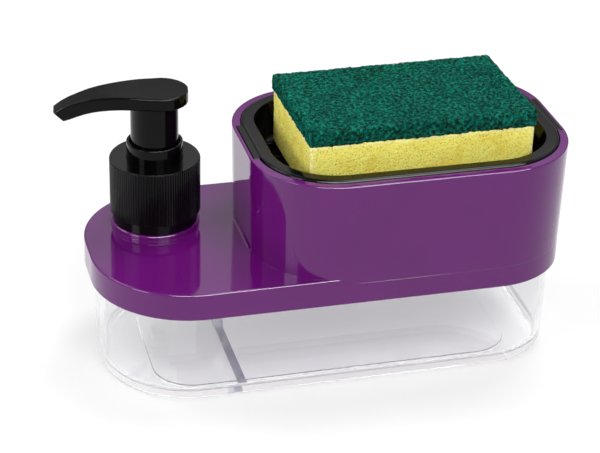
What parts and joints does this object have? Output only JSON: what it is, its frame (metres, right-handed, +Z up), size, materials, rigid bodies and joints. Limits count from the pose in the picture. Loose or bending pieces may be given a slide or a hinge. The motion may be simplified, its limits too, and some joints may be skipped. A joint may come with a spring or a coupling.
{
  "type": "soap pump caddy",
  "caption": "Free-standing soap pump caddy: clear soap tank, lift-off lid with a hand pump and a raised basin, drip tray and sponge.",
  "frame": {"origin": "on the surface that the caddy stands on, at the centre of the lid's and tank's footprint", "axes": "+X along the caddy from the pump to the sponge, -Y the front, +Z up"},
  "size_m": [0.1997, 0.0926, 0.1078],
  "materials": {
    "clear_tank": "clear, polished moulded plastic",
    "clear_baffle": "clear plate with grey-blue edges",
    "lid_plastic": "high gloss purple",
    "tray_plastic": "glossy black",
    "foam": "yellow open-cell foam",
    "scouring_fibre": "green matted abrasive fibre",
    "cap_plastic": "satin black, fine ribs",
    "pump_gloss": "glossy black",
    "gasket": "soft grey",
    "pump_white": "natural white",
    "steel": "bright steel"
  },
  "bodies": {
    "tank": {"tank": "clear_tank", "tank_baffle": "clear_baffle"},
    "lid": {"lid": "lid_plastic"},
    "tray": {"sponge_tray": "tray_plastic"},
    "sponge": {"sponge_foam": "foam", "scouring_pad": "scouring_fibre"},
    "pump_core": {"pump_cylinder": "pump_white", "locking_ring": "pump_gloss", "neck_gasket": "gasket", "dip_tube": "pump_white", "return_spring": "steel"},
    "cap": {"screw_cap": "cap_plastic"},
    "inlet_valve": {"inlet_ball": "steel"},
    "piston": {"piston_seal": "pump_white"},
    "head": {"pump_head": "pump_gloss", "stem": "pump_white", "stem_plug": "pump_white"}
  },
  "joints": [
    {"name": "lid_lift", "type": "slide", "parent": "tank", "child": "lid", "axis": [0, 0, 1], "range_m": [0, 0.06]},
    {"name": "tray_lift", "type": "slide", "parent": "lid", "child": "tray", "axis": [0, 0, 1], "range_m": [0, 0.03]},
    {"name": "sponge_lift", "type": "slide", "parent": "tray", "child": "sponge", "axis": [0, 0, 1], "range_m": [0, 0.03]},
    {"name": "pump_lift", "type": "slide", "parent": "lid", "child": "pump_core", "axis": [0, 0, 1], "range_m": [0, 0.0053]},
    {"name": "cap_turn", "type": "hinge", "parent": "pump_core", "child": "cap", "pos_m": [-0.06455, 0.0174, 0.065], "axis": [0, 0, 1], "range_deg": [0, 450]},
    {"name": "ball_lift", "type": "slide", "parent": "pump_core", "child": "inlet_valve", "axis": [0, 0, 1], "range_m": [0, 0.0013]},
    {"name": "pump_stroke", "type": "slide", "parent": "pump_core", "child": "piston", "axis": [0, 0, -1], "range_m": [0, 0.0115], "stiffness_N_per_m": 400, "springref_m": -0.01, "deforming": ["return_spring"]},
    {"name": "head_turn", "type": "hinge", "parent": "piston", "child": "head", "pos_m": [-0.06455, 0.0174, 0.09], "axis": [0, 0, 1], "continuous": true}
  ],
  "couplings": [
    {"joint": "pump_lift", "follows": "cap_turn", "m_per_rad": 0.000673}
  ]
}
